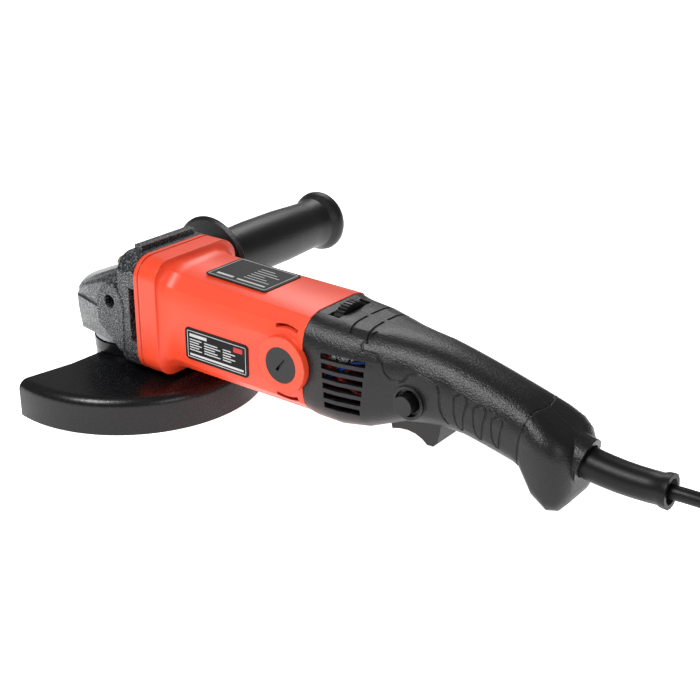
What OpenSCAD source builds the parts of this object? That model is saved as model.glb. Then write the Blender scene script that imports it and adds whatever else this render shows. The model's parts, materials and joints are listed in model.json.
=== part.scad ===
// Angle grinder for 150 mm discs: long-handled, corded, M14 spindle.
// Millimetres. Origin on the spindle axis at the disc seat, +X towards the cord,
// +Y towards the side handle, +Z up from the disc to the gear head.

/* [Disc side] */
// Drop from the disc seat to the rim of the guard
rim_drop = 14; // [12:0.5:16]
// Outer radius of the guard
guard_r = 81.5; // [76:0.5:90]
// Height of the guard's skirt, rim to deck
guard_h = 22.5; // [20:0.5:23]
// Sheet thickness of the guard
guard_wall = 2; // [1.2:0.1:2.4]
// Arc that the guard covers, in degrees
guard_arc = 180; // [140:5:200]
// Direction of the guard's first end, in degrees
guard_start = -100; // [-120:5:-80]
// Radius of the M14 spindle thread
thread_r = 7; // [6:0.5:7]
// Length of thread below the disc seat
thread_len = 13.5; // [12:0.5:13.5]
// Radius of the inner clamping flange
flange_disc_r = 18; // [15:0.5:19]
// Thickness of the inner clamping flange
inner_flange_t = 4.5; // [3.5:0.5:4.5]
// Radius of the spigot for the disc's 22.23 mm bore
disc_spigot_r = 11.1; // [10:0.1:11.1]
// Height of that spigot
disc_spigot_h = 1.8; // [1:0.1:2]

/* [Gear head] */
// Height of the motor axis above the disc seat
axis_z = 46.5; // [46:0.5:49]
// Radius of the gear head's round nose
head_r = 32.5; // [31:0.5:36]
// Top of the nose at its front
head_front_z = 51; // [50:0.5:54]
// Top of the gear head where it meets the square flange
head_rear_z = 74; // [70:0.5:78]
// Half width of the square flange
flange_hw = 34; // [33.5:0.5:38]
// Half height of the square flange
flange_hh = 35.5; // [35:0.5:38]
// Front face of the square flange
flange_x = 26; // [25:0.5:27]
// Joint face between gear case and motor housing
joint_x = 39; // [38:0.5:41]
// Corner radius of the square flange
flange_corner = 12; // [9:0.5:14]
// Distance of the side-handle hole behind the spindle
ear_x = 18.5; // [17:0.5:20]
// Height of the side-handle hole above the motor axis
ear_up = 5.5; // [3:0.5:7]
// Half distance between the faces of the two ears
ear_face = 34.7; // [34.2:0.1:37]
// Radius of the M8 side-handle hole
ear_hole_r = 4; // [3:0.5:5]
// Depth of the side-handle hole
ear_hole_depth = 14; // [10:0.5:15]
// Radius of the neck that the guard turns on
neck_r = 20.5; // [20:0.1:22]

/* [Gears] */
// Teeth of the bevel gear on the spindle
gear_teeth = 37; // [31:1:41]
// Teeth of the pinion on the armature
pinion_teeth = 12; // [10:1:14]
// Pitch radius of the bevel gear
gear_pitch_r = 18.7; // [17:0.1:18.7]
// Face width of the teeth
gear_face = 5.5; // [4:0.5:6]

/* [Motor] */
// Rear face of the motor housing
housing_end_x = 160; // [156:1:164]
// Half width of the motor barrel
barrel_hw = 30.5; // [30:0.5:33]
// Half height of the motor barrel at its front
barrel_hh = 31; // [30.5:0.5:34]
// Fall of the barrel's top and bottom towards the rear
barrel_fall = 2.3; // [0:0.1:2.5]
// Radius of the motor bore
motor_bore_r = 28; // [27:0.5:28]
// Radius of the armature core
armature_r = 19.5; // [17:0.5:20]
// Air gap between armature and field core
air_gap = 0.7; // [0.5:0.1:1]
// Length of the armature and field cores
core_len = 46; // [36:1:48]
// Radius of the commutator
commutator_r = 12; // [10:0.5:13]
// Distance of the brushes behind the spindle
brush_x = 148; // [144:0.5:148]
// Radius of the brush boss on each side
boss_r = 16; // [15:0.5:18]
// Half distance between the faces of the brush bosses
boss_face = 34; // [33:0.5:35]
// Radius of the brush caps
cap_r = 10.2; // [9:0.1:11]

/* [Handle] */
// Wall of the handle shells
shell_t = 2.8; // [2:0.1:3]
// Air slots on each side
vent_count = 6; // [4:1:6]
// Height of one air slot
vent_gap = 3.4; // [2.5:0.1:3.6]
// Pitch of the air slots
vent_pitch = 5.5; // [5:0.1:5.6]
// Length of the air slots
vent_len = 25; // [18:1:27]
// Half width of the trigger
trigger_hw = 10; // [8:0.5:11]
// Radius of the lock-on button
button_r = 5.5; // [4:0.5:6]
// Stand of the lock-on button above its recess
button_out = 6; // [4:0.5:7]
// Radius of the speed dial
dial_r = 16; // [14:0.5:16]
// Thickness of the speed dial
dial_t = 5.5; // [4:0.5:5.5]

/* [Side handle] */
// Radius of the side handle's grip
grip_r = 17.5; // [15:0.5:20]
// Radius of its hand guard
grip_guard_r = 30; // [24:0.5:32]
// Distance of the hand guard from the ear
grip_neck_len = 15; // [12:0.5:18]
// Length of the grip behind the hand guard
grip_len = 120; // [90:1:130]
// Radius of the flared end
grip_end_r = 20.5; // [18:0.5:23]

/* [Cord] */
// Diameter of the cord
cord_d = 7.4; // [6:0.1:8.4]
// Radius of the cord sleeve at its root
sleeve_root_r = 8.7; // [7:0.1:9]
// Radius of the cord sleeve at its tip
sleeve_tip_r = 8; // [6.5:0.1:8.4]
// Radius of the plug's body
plug_r = 18; // [14:0.5:19]

/* [Hidden] */
$fn = 64;
eps = 0.01;

// Clearances
run_gap = 0.05;
free_gap = 0.3;
fit_gap = 0.1;

// Gear head
flange_mid_z = axis_z + 0.5;
flange_bottom = flange_mid_z - flange_hh;
flange_top = flange_mid_z + flange_hh;
step_z = axis_z - 3;
nose_base_z = 22;
nose_base_r = 23.4;
nose_rim_r = head_r - 1.7;
cap_flange_t = 4;
cap_bottom_z = 5;
gear_room_r = 20;
roof_z = axis_z + 1.5;
cap_screw_r = 21.75;
cap_sink_z = nose_base_z - cap_flange_t + 1.5;
bearing_r = 17.5;
bearing_w = 11;
bearing_z = 6.5;
spindle_r = 7.5;
journal_r = 4;
bush_r = 8.2;
bush_len = 9;
ear_z = axis_z + ear_up;
screw_y = flange_hw - 7.5;
screw_z = flange_hh - 7.5;

// Gear pair, apex where the two axes cross
pinion_pitch_r = gear_pitch_r * pinion_teeth / gear_teeth;
tooth_add = 0.62;
tooth_ded = 0.95;
pinion_tail = 8;
tooth_k = 1 - gear_face / gear_pitch_r;
nose_shaft_r = 3;

// Motor, along X
front_bearing_x = 28;
front_bearing_r = 14;
front_bearing_w = 8;
rear_bearing_r = 11;
rear_bearing_w = 7;
rear_bearing_x = housing_end_x - 2.5;
shaft_r = 5;
tail_shaft_r = 4;
fan_x = joint_x + 3;
fan_w = 9.5;
core_x = 64;
coil_overhang = 8;
comm_x = brush_x - 11;
comm_w = 18;
collar_len = 17;
blend_len = 10;
brush_w = 6;
brush_h = 10;
brush_tail = 23;
cap_depth = 4;

// Handle outline: each row is x, top, bottom, half width, upper and lower corner radius
HANDLE = [[housing_end_x, 75, 17.5, 30, 15, 15], [166, 73.8, 16.8, 30, 16, 14],
    [182, 73, 16.3, 29.3, 17, 14], [196, 71.9, 18.3, 26.5, 17.5, 13],
    [206, 71.6, 22, 23, 17.5, 12], [216, 71.2, 26, 21, 17.5, 11], [228, 70.2, 28, 20.2, 17.5, 11],
    [240, 68.1, 29.3, 19.5, 17.5, 11], [252, 65.2, 28.8, 19.2, 17, 10.5],
    [264, 62, 26.6, 19, 16.5, 10], [280, 57.1, 23.2, 19, 15.5, 9.5],
    [284.5, 55.2, 21.3, 19.2, 14.5, 9], [293.5, 50.2, 10.5, 21.6, 13, 8],
    [301.5, 45.6, 5, 21.6, 11, 8], [306, 42.5, 5.4, 19.6, 10, 8], [309, 39, 9, 16, 8, 7],
    [310.5, 34.5, 13.5, 12, 6, 6]];
boss_tube_r = 12;
boss_tube_x = 300;
boss_tube_z = 32.2;
boss_tube_len = 13;
boss_tilt = 13;
trigger_x = 206;
trigger_z = 30;
trigger_pin_r = 2;
button_x = 221.5;
button_z = 41.5;
button_face_y = 20.8;
button_ring_r = 9.2;
dial_x = 166;
dial_z = 61.6;
dial_shaft_r = 3;
vent_x = 171.5;
vent_mid_z = 43.5;

// Side handle, along Y
grip_y0 = ear_face + free_gap;
grip_guard_y = ear_face + grip_neck_len;
grip_y1 = grip_guard_y + grip_len;
stud_r = ear_hole_r - run_gap;

// Cord: the sleeve's middle line, then the cord's own route to the coil
sleeve_path = [[305, 0, 31], [309, 0, 30.1], [313, 0, 29.1], [318, 0, 28.2], [324, 0, 27.6],
    [331, 0, 27.1], [338, 0, 27], [345, 0, 27.2], [351, 0, 27.6], [353, 0, 27.7], [356, 0, 27.8]];
sleeve_radii = concat([for (i = [0:8])
    sleeve_root_r + (sleeve_tip_r - sleeve_root_r) * i / 8], [sleeve_tip_r + 0.9, sleeve_tip_r + 1.1]);
sleeve_bores = concat([for (i = [0:7]) cord_d / 2 + 0.2], [cord_d / 2 + 0.4, 5.6, 6.6]);
cord_in_z = 34.9;
cord_route = [[286, 0, cord_in_z], [295, 0, 33.1], [305, 0, 31], [309, 0, 30.1], [313, 0, 29.1],
    [318, 0, 28.2], [324, 0, 27.6], [331, 0, 27.1], [338, 0, 27], [345, 0, 27.2], [351, 0, 27.6],
    [356, 0, 27.8], [363, 0.2, 28], [372, 0.9, 27.8], [382, 2.2, 26.2], [392, 3.8, 22.6],
    [402, 5.5, 17.4], [412, 7.2, 11.4], [422, 8.7, 5.6], [432, 10, 0.2], [442, 11, -4.6],
    [452, 11.6, -8], [461, 11.9, -9.8], [470, 12, -10.3]];
coil_turns = 7;
coil_r = 41;
floor_z = -rim_drop;
coil_x = 470;
coil_y = 12 + coil_r + cord_d / 2;
coil_h = cord_d * 3.9;
tail_z = floor_z + plug_r;
tail_y = coil_y + coil_r + cord_d / 2;
tail_end_x = 430;
tail_top = floor_z + coil_h - cord_d / 2;
tail_route = [[coil_x, tail_y, tail_top], [462, tail_y, 10.8], [453, tail_y, 9.2],
    [444, tail_y, 6.6], [437, tail_y, 4.7], [tail_end_x, tail_y, tail_z]];
plug_len = 36;
plug_pin_len = 19;

// ---------- shared shapes ----------

// Lays a flat outline in the Y-Z plane and draws it out along +X
module along_x(x0, len) {
    translate([x0, 0, 0])
        rotate([90, 0, 90])
            linear_extrude(len)
                children();
}

// Cylinder along X on the motor axis
module motor_cyl(x0, len, r) {
    translate([x0, 0, axis_z])
        rotate([0, 90, 0])
            cylinder(h = len, r = r);
}

// Ring along X on the motor axis
module motor_ring(x0, len, r_out, r_in) {
    difference() {
        motor_cyl(x0, len, r_out);
        motor_cyl(x0 - 1, len + 2, r_in);
    }
}

// Cylinder along +Y
module y_cyl(x, y0, z, len, r) {
    translate([x, y0, z])
        rotate([-90, 0, 0])
            cylinder(h = len, r = r);
}

// Rectangle with round corners, half sizes given
module round_rect(hw, hh, r) {
    union() {
        square([2 * (hw - r), 2 * hh], center = true);
        square([2 * hw, 2 * (hh - r)], center = true);
        for (sy = [-1, 1])
            for (sz = [-1, 1])
                translate([sy * (hw - r), sz * (hh - r)])
                    circle(r);
    }
}

// Points of a rounded rectangle in the Y-Z plane, anticlockwise
function rr_points(hw, top, bottom, r_top, r_bottom, n) =
    [for (q = [0:3])
        for (i = [0:n])
            let (a = 90 * q + 90 * i / n,
                 r = q < 2 ? r_top : r_bottom,
                 cy = (q == 0 || q == 3 ? 1 : -1) * (hw - r),
                 cz = (q < 2 ? top - r : bottom + r))
                [cy + r * cos(a), cz + r * sin(a)]];

// Skin through rows of x, top, bottom, half width, upper and lower corner radius
module loft(rows, inset, n = 5) {
    m = 4 * (n + 1);
    k = len(rows);
    pts = [for (row = rows)
        let (low_r = len(row) > 5 ? row[5] : row[4],
             p = rr_points(row[3] - inset, row[1] - inset, row[2] + inset,
                max(row[4] - inset, 1), max(low_r - inset, 1), n))
            for (q = p)
                [row[0], q[0], q[1]]];
    sides = [for (i = [0:k - 2])
        for (j = [0:m - 1])
            let (a = i * m + j, b = i * m + (j + 1) % m)
                each [[a, b + m, b], [a, a + m, b + m]]];
    caps = [[for (j = [0:m - 1]) j], [for (j = [m - 1:-1:0]) (k - 1) * m + j]];
    polyhedron(points = pts, faces = concat(caps, sides), convexity = 6);
}

// Unit vector and a cross product's frame along a route
function unit(v) = v / norm(v);
function route_dir(p, i) = unit(p[min(i + 1, len(p) - 1)] - p[max(i - 1, 0)]);

// Tube swept along a route; radii is one number or one for each point
module swept(path, radii, sides = 10) {
    k = len(path);
    pts = [for (i = [0:k - 1])
        let (d = route_dir(path, i), s = unit(cross([0, 0, 1], d)), u = cross(d, s),
             r = is_list(radii) ? radii[i] : radii)
            for (j = [0:sides - 1])
                path[i] + r * (cos(360 * j / sides) * s + sin(360 * j / sides) * u)];
    skin = [for (i = [0:k - 2])
        for (j = [0:sides - 1])
            let (a = i * sides + j, b = i * sides + (j + 1) % sides)
                each [[a, b, b + sides], [a, b + sides, a + sides]]];
    caps = [[for (j = [sides - 1:-1:0]) j], [for (j = [0:sides - 1]) (k - 1) * sides + j]];
    polyhedron(points = pts, faces = concat(caps, skin), convexity = 8);
}

// Hollow tube swept along a route, its outer and inner radius given for each point
module swept_hose(path, radii, bores, sides = 16) {
    k = len(path);
    n = k * sides;
    function ring(i, r) = let (d = route_dir(path, i), s = unit(cross([0, 0, 1], d)), u = cross(d, s))
        [for (j = [0:sides - 1]) path[i] + r * (cos(360 * j / sides) * s + sin(360 * j / sides) * u)];
    pts = concat([for (i = [0:k - 1]) each ring(i, radii[i])],
        [for (i = [0:k - 1]) each ring(i, bores[i])]);
    walls = [for (i = [0:k - 2])
        for (j = [0:sides - 1])
            let (a = i * sides + j, b = i * sides + (j + 1) % sides)
                each [[a, b, b + sides], [a, b + sides, a + sides],
                    [n + a, n + b + sides, n + b], [n + a, n + a + sides, n + b + sides]]];
    e = (k - 1) * sides;
    ends = [for (j = [0:sides - 1])
        let (c = (j + 1) % sides)
            each [[j, n + j, n + c], [j, n + c, c],
                [e + j, n + e + c, n + e + j], [e + j, e + c, n + e + c]]];
    polyhedron(points = pts, faces = concat(walls, ends), convexity = 8);
}

// Points between the hand-chosen ones, on a Catmull-Rom curve
function blend4(a, b, c, d, t) =
    0.5 * (2 * b + (c - a) * t + (2 * a - 5 * b + 4 * c - d) * t * t
        + (3 * b - a - 3 * c + d) * t * t * t);
function smooth_route(p, n) =
    concat([for (i = [0:len(p) - 2])
        for (j = [0:n - 1])
            blend4(p[max(i - 1, 0)], p[i], p[i + 1], p[min(i + 2, len(p) - 1)], j / n)],
        [p[len(p) - 1]]);

// Pan-head screw pointing along +Z, head below z = 0
module screw(head_r, head_h, shank_r, shank_len) {
    union() {
        difference() {
            translate([0, 0, -head_h])
                cylinder(h = head_h, r = head_r);
            translate([0, 0, -head_h - 1])
                cylinder(h = 1 + head_h * 0.6, r = head_r * 0.45, $fn = 6);
        }
        cylinder(h = shank_len, r = shank_r);
    }
}

// Coil spring drawn as separate closed turns joined into a tube, along +Z
module coil_spring(r, wire_r, len, turns) {
    union() {
        for (i = [0:turns - 1])
            translate([0, 0, wire_r + i * (len - 2 * wire_r) / (turns - 1)])
                rotate_extrude($fn = 32)
                    translate([r, 0])
                        circle(wire_r, $fn = 16);
        difference() {
            translate([0, 0, wire_r])
                cylinder(h = len - 2 * wire_r, r = r + wire_r * 0.3);
            cylinder(h = len, r = r - wire_r * 0.3);
        }
    }
}

// ---------- gear head ----------

module ear_outline() {
    hull() {
        translate([ear_x, ear_z + 1])
            circle(9.5, $fn = 32);
        translate([9, step_z + 2])
            circle(2, $fn = 16);
        translate([10, step_z - 6])
            circle(2, $fn = 16);
        translate([flange_x, flange_bottom + 13])
            circle(2, $fn = 16);
        translate([flange_x + 1, ear_z])
            circle(2, $fn = 16);
    }
}

// Wedge that gives the nose its flat flanks, half widths at the front and at the flange
module nose_plan(front, rear) {
    linear_extrude(0.5)
        polygon([[-45, -front], [flange_x + 1, -rear], [flange_x + 1, rear], [-45, front]]);
}

module nose_sides(inset) {
    hull() {
        translate([0, 0, nose_base_z - 1])
            nose_plan(18.3 - inset, 29.7 - inset);
        translate([0, 0, step_z])
            nose_plan(18.5 - inset, 36 - inset);
        translate([0, 0, head_rear_z + 1])
            nose_plan(16 - inset, 34 - inset);
    }
}

module gear_case_solid() {
    union() {
        intersection() {
            hull() {
                translate([0, 0, nose_base_z])
                    cylinder(h = 1, r = nose_rim_r, $fn = 48);
                translate([0, 0, step_z - 6])
                    cylinder(h = 6, r = head_r, $fn = 48);
                translate([flange_x - 1, 0, 0])
                    along_x(0, 2)
                        translate([0, (nose_base_z + step_z) / 2])
                            square([2 * head_r - 1, step_z - nose_base_z], center = true);
            }
            nose_sides(0);
        }
        // boss of the spindle lock on the far side
        y_cyl(0, gear_room_r + 2, lock_z, head_r - gear_room_r - 2, lock_r + 5.6);
        intersection() {
            hull() {
                translate([0, 0, step_z - 1])
                    cylinder(h = head_front_z - step_z - 2, r = head_r - 1, $fn = 48);
                translate([0, 0, head_front_z - 2])
                    cylinder(h = 2, r = head_r - 3.5, $fn = 48);
                along_x(flange_x - 1, 2)
                    hull() {
                        for (sy = [-1, 1]) {
                            translate([sy * (head_r - 11), head_rear_z - 10])
                                circle(10, $fn = 32);
                            translate([sy * (head_r - 3), step_z])
                                circle(2, $fn = 16);
                        }
                    }
            }
            nose_sides(1);
        }
        for (s = [-1, 1])
            translate([0, s * (ear_face + head_r - 8) / 2 , 0])
                rotate([90, 0, 0])
                    linear_extrude(ear_face - head_r + 8, center = true)
                        ear_outline();
        along_x(flange_x, joint_x - flange_x)
            translate([0, flange_mid_z])
                round_rect(flange_hw, flange_hh, flange_corner);
        translate([flange_x + 2, -21, flange_top - 1])
            cube([6, 44, 4]);
    }
}

module gear_case() {
    color("dimgray")
        difference() {
            gear_case_solid();
            // gear room, open at the bottom, with the bush pocket in its roof
            translate([0, 0, nose_base_z - 1])
                cylinder(h = roof_z - nose_base_z + 1, r = gear_room_r);
            translate([0, 0, roof_z - 1])
                cylinder(h = bush_len + 2, r = bush_r + fit_gap / 2);
            // room of the pinion and seat of the bearing plate
            motor_cyl(gear_face + 2.5, flange_x - gear_face, 12);
            motor_cyl(flange_x + 1, joint_x - flange_x, 24);
            // tapped holes of the two ears
            for (s = [-1, 1])
                y_cyl(ear_x, s > 0 ? ear_face - ear_hole_depth : -ear_face - 1, ear_z,
                    ear_hole_depth + 1, ear_hole_r);
            // air slots at the joint face
            for (s = [-1, 1])
                translate([joint_x - 4.7, s > 0 ? flange_hw - 6 : -flange_hw - 1, axis_z - 15.7])
                    cube([5, 7, 33]);
            // holes of the four long screws and of the bearing cap's screws
            for (sy = [-1, 1])
                for (sz = [-1, 1])
                    translate([0, sy * screw_y, flange_mid_z - axis_z + sz * screw_z])
                        union() {
                            motor_cyl(flange_x - 1, joint_x - flange_x + 2, 2.6);
                            motor_cyl(flange_x - 8, 8, 4.4);
                        }
            for (a = [45:90:315])
                rotate([0, 0, a])
                    translate([cap_screw_r, 0, nose_base_z - 1])
                        cylinder(h = 8, r = 0.9);
            // bore of the spindle lock on the far side
            y_cyl(0, gear_room_r - 2, lock_z, head_r - gear_room_r + 4, lock_r + fit_gap);
        }
}

module gear_case_screws() {
    color("silver")
        for (sy = [-1, 1])
            for (sz = [-1, 1])
                translate([flange_x - eps, sy * screw_y, flange_mid_z + sz * screw_z])
                    rotate([0, 90, 0])
                        screw(4.2, 3, 2.4, 24);
}

module bearing_cap() {
    color("gray")
        difference() {
            union() {
                translate([0, 0, nose_base_z - cap_flange_t])
                    cylinder(h = cap_flange_t, r = nose_base_r);
                translate([0, 0, cap_bottom_z])
                    cylinder(h = nose_base_z - cap_bottom_z, r = neck_r);
                translate([0, 0, nose_base_z])
                    cylinder(h = 2.5, r = gear_room_r - fit_gap);
            }
            translate([0, 0, bearing_z])
                cylinder(h = 30, r = bearing_r);
            translate([0, 0, 0])
                cylinder(h = 20, r = spindle_r + 3);
            for (a = [45:90:315])
                rotate([0, 0, a])
                    translate([cap_screw_r, 0, 0]) {
                        cylinder(h = 30, r = 1);
                        cylinder(h = cap_sink_z, r = 1.55);
                    }
        }
}

module bearing_cap_screws() {
    color("silver")
        for (a = [45:90:315])
            rotate([0, 0, a])
                translate([cap_screw_r, 0, cap_sink_z])
                    screw(1.45, 1.2, 0.85, 7.5);
}

module spindle_bearing() {
    color("lightsteelblue")
        translate([0, 0, bearing_z])
            difference() {
                cylinder(h = bearing_w, r = bearing_r);
                translate([0, 0, -1])
                    cylinder(h = bearing_w + 2, r = spindle_r);
                for (z = [-1, bearing_w - 0.8])
                    translate([0, 0, z])
                        difference() {
                            cylinder(h = 1.8, r = bearing_r - 2.5);
                            translate([0, 0, -1])
                                cylinder(h = 4, r = spindle_r + 2.5);
                        }
            }
}

module spindle_bush() {
    color("goldenrod")
        translate([0, 0, roof_z])
            difference() {
                cylinder(h = bush_len, r = bush_r);
                translate([0, 0, -1])
                    cylinder(h = bush_len + 2, r = journal_r);
            }
}

gear_top_z = axis_z - 3;
gear_hub_z = axis_z - pinion_pitch_r - 7;
gear_bore_r = 6.5;

module spindle() {
    color("silver")
        difference() {
            union() {
                translate([0, 0, -thread_len])
                    cylinder(h = thread_len, r = thread_r);
                translate([0, 0, -disc_spigot_h])
                    cylinder(h = gear_hub_z + disc_spigot_h, r = spindle_r - run_gap);
                translate([0, 0, bearing_z + bearing_w + free_gap])
                    cylinder(h = gear_hub_z - bearing_z - bearing_w - free_gap, r = spindle_r + 1.8);
                translate([0, 0, gear_hub_z - 1])
                    cylinder(h = gear_top_z - gear_hub_z + 1, r = gear_bore_r);
                translate([0, 0, gear_top_z - 1])
                    cylinder(h = roof_z + bush_len - gear_top_z, r = journal_r - run_gap);
            }
            // cross flats in the end of the thread
            translate([0, 0, -thread_len - 1])
                cylinder(h = 4, r = 3.2, $fn = 6);
        }
}

// One straight bevel tooth drawn from the apex; root and tip are [radius, height]
module bevel_tooth(root, tip, teeth, near, far) {
    wr = 360 / teeth * 0.18;
    wt = 360 / teeth * 0.1;
    function p(k, a, rz) = k * [rz[0] * cos(a), rz[0] * sin(a), rz[1]];
    polyhedron(points = [p(near, -wr, root), p(far, -wr, root), p(far, wr, root), p(near, wr, root),
            p(near, -wt, tip), p(far, -wt, tip), p(far, wt, tip), p(near, wt, tip)],
        faces = [[0, 1, 2, 3], [4, 7, 6, 5], [0, 4, 5, 1], [1, 5, 6, 2], [2, 6, 7, 3], [3, 7, 4, 0]]);
}

module bevel_gear() {
    color("slategray")
        difference() {
            translate([0, 0, axis_z])
                union() {
                    rotate_extrude()
                        polygon([[6.6, gear_hub_z - axis_z], [gear_pitch_r - 2, gear_hub_z - axis_z],
                            [gear_pitch_r + 0.4, gear_hub_z - axis_z + 2.4],
                            [gear_pitch_r + 0.4, -pinion_pitch_r - tooth_ded + 0.2],
                            [gear_pitch_r - gear_face - 0.5,
                                -(pinion_pitch_r + tooth_ded) * (1 - gear_face / gear_pitch_r) + 0.2],
                            [9.5, gear_top_z - axis_z], [6.6, gear_top_z - axis_z]]);
                    for (i = [0:gear_teeth - 1])
                        rotate([0, 0, i * 360 / gear_teeth])
                            bevel_tooth([gear_pitch_r, -pinion_pitch_r - tooth_ded],
                                [gear_pitch_r, -pinion_pitch_r + tooth_add], gear_teeth,
                                tooth_k, 1);
                }
            translate([0, 0, gear_hub_z - 1])
                cylinder(h = 20, r = gear_bore_r);
            // notches of the spindle lock
            for (a = [30:60:330])
                rotate([0, 0, a])
                    translate([gear_pitch_r - 2.4, 0, lock_z])
                        rotate([0, 90, 0])
                            cylinder(h = 6, r = lock_r + notch_play);
        }
}

module inner_flange() {
    color("silver")
        difference() {
            union() {
                cylinder(h = inner_flange_t, r = flange_disc_r);
                translate([0, 0, -disc_spigot_h])
                    cylinder(h = disc_spigot_h + eps, r = disc_spigot_r);
            }
            translate([0, 0, -5])
                cylinder(h = 20, r = spindle_r - run_gap);
        }
}

lock_r = 3;
notch_play = 0.9;
lock_z = gear_hub_z + 1.2;
lock_in = 3;

module lock_pin() {
    color("black")
        union() {
            y_cyl(0, gear_pitch_r + 1.4, lock_z, head_r + 5 - gear_pitch_r - 1.4, lock_r);
            y_cyl(0, head_r + 4, lock_z, 3, 7);
        }
}

module lock_spring() {
    color("silver")
        translate([0, head_r + 0.2, lock_z])
            rotate([-90, 0, 0])
                coil_spring(lock_r + 1.2, 0.45, 3.7, 4);
}

// ---------- guard ----------

collar_r = neck_r + run_gap;
deck_z = guard_h - rim_drop;
shoulder = 6;

module guard() {
    color("black")
        union() {
            rotate([0, 0, guard_start])
                rotate_extrude(angle = guard_arc, $fn = 180)
                    guard_profile();
            translate([0, 0, 1.5])
                difference() {
                    cylinder(h = nose_base_z - cap_flange_t - 2, r = collar_r + guard_wall);
                    translate([0, 0, -1])
                        cylinder(h = 30, r = collar_r);
                }
        }
}

// Half section of the guard: skirt, round shoulder, deck, low cone
module guard_profile() {
    w = guard_wall;
    polygon(concat(
        [[guard_r - w, -rim_drop], [guard_r, -rim_drop]],
        [for (a = [0:15:90])
            [guard_r - shoulder + shoulder * cos(a), deck_z - shoulder + shoulder * sin(a)]],
        [[neck_r + 25, deck_z], [neck_r + 6, deck_z + 1.7], [collar_r + w / 2, deck_z + 1.7],
            [collar_r + w / 2, deck_z + 1.7 - w], [neck_r + 6, deck_z + 1.7 - w],
            [neck_r + 25, deck_z - w]],
        [for (a = [90:-15:0])
            [guard_r - shoulder + (shoulder - w) * cos(a),
                deck_z - shoulder + (shoulder - w) * sin(a)]]));
}

band_r = collar_r + guard_wall;
band_t = 1.6;
band_top = nose_base_z - cap_flange_t - 0.8;
lug_dir = 140;
lug_z = 3;
lug_len = 10;

module guard_clamp() {
    color("dimgray")
        difference() {
            union() {
                translate([0, 0, deck_z + 2.2])
                    cylinder(h = band_top - deck_z - 2.2, r = band_r + band_t);
                rotate([0, 0, guard_start + guard_arc + 3])
                    rotate_extrude(angle = 354 - guard_arc)
                        translate([band_r - 0.5, 2])
                            square([band_t + 0.1, band_top - 2.3]);
                rotate([0, 0, lug_dir])
                    for (s = [-1, 1])
                        translate([band_r - 0.5, s * 3.4 - 1.2, lug_z])
                            cube([lug_len + 0.5, 2.4, band_top - lug_z - 0.6]);
            }
            cylinder(h = 30, r = band_r);
            rotate([0, 0, lug_dir]) {
                translate([band_r - 2, -2.2, 0])
                    cube([5, 4.4, 30]);
                translate([band_r + lug_len - 4.2, -8, (lug_z + band_top) / 2])
                    rotate([-90, 0, 0])
                        cylinder(h = 16, r = 2.1);
            }
        }
}

module clamp_screw() {
    color("silver")
        rotate([0, 0, lug_dir])
            translate([band_r + lug_len - 4.2, -4.6, (lug_z + band_top) / 2])
                rotate([-90, 0, 0])
                    union() {
                        screw(3.8, 3, 2, 10);
                        translate([0, 0, 9.3])
                            cylinder(h = 2.6, r = 3.8, $fn = 6);
                    }
}

// ---------- motor ----------

// Arc-shaped bar along X about the motor axis; 0 degrees points down, 90 to +Y
module arc_bar(x0, len, r_in, r_out, a0, a1) {
    translate([x0, 0, axis_z])
        rotate([0, 90, 0])
            rotate([0, 0, a0])
                rotate_extrude(angle = a1 - a0)
                    translate([r_in, 0])
                        square([r_out - r_in, len]);
}

module pinion() {
    color("slategray")
        difference() {
            union() {
                translate([0, 0, axis_z])
                    rotate([0, 90, 0])
                        union() {
                            rotate_extrude()
                                polygon([[0.5, gear_pitch_r * tooth_k],
                                    [(pinion_pitch_r - tooth_ded) * tooth_k + 0.2,
                                        gear_pitch_r * tooth_k],
                                    [pinion_pitch_r - tooth_ded + 0.2, gear_pitch_r],
                                    [0.5, gear_pitch_r]]);
                            for (i = [0:pinion_teeth - 1])
                                rotate([0, 0, (i + 0.5) * 360 / pinion_teeth])
                                    bevel_tooth([pinion_pitch_r - tooth_ded, gear_pitch_r],
                                        [pinion_pitch_r + tooth_add, gear_pitch_r], pinion_teeth,
                                        1, tooth_k);
                        }
                motor_cyl(gear_pitch_r - eps, front_bearing_x - gear_pitch_r, pinion_pitch_r);
            }
            motor_cyl(0, front_bearing_x + 1, nose_shaft_r);
        }
}

module armature_shaft() {
    color("silver")
        union() {
            motor_cyl(gear_pitch_r * tooth_k - 1, front_bearing_x, nose_shaft_r);
            motor_cyl(front_bearing_x, rear_bearing_x - 1 - front_bearing_x, shaft_r - run_gap);
            motor_cyl(rear_bearing_x - 1 - eps, rear_bearing_w + 1.5, tail_shaft_r - run_gap);
        }
}

slots = 12;

module armature_core() {
    color("slategray")
        difference() {
            motor_cyl(core_x, core_len, armature_r);
            motor_cyl(core_x - 1, core_len + 2, shaft_r - run_gap);
            for (i = [0:slots - 1])
                arc_bar(core_x - 1, core_len + 2, armature_r - 7, armature_r - 1,
                    i * 360 / slots, i * 360 / slots + 11);
            for (i = [0:slots - 1])
                arc_bar(core_x - 1, core_len + 2, armature_r - 2, armature_r + 1,
                    i * 360 / slots + 3.5, i * 360 / slots + 7.5);
        }
}

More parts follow.
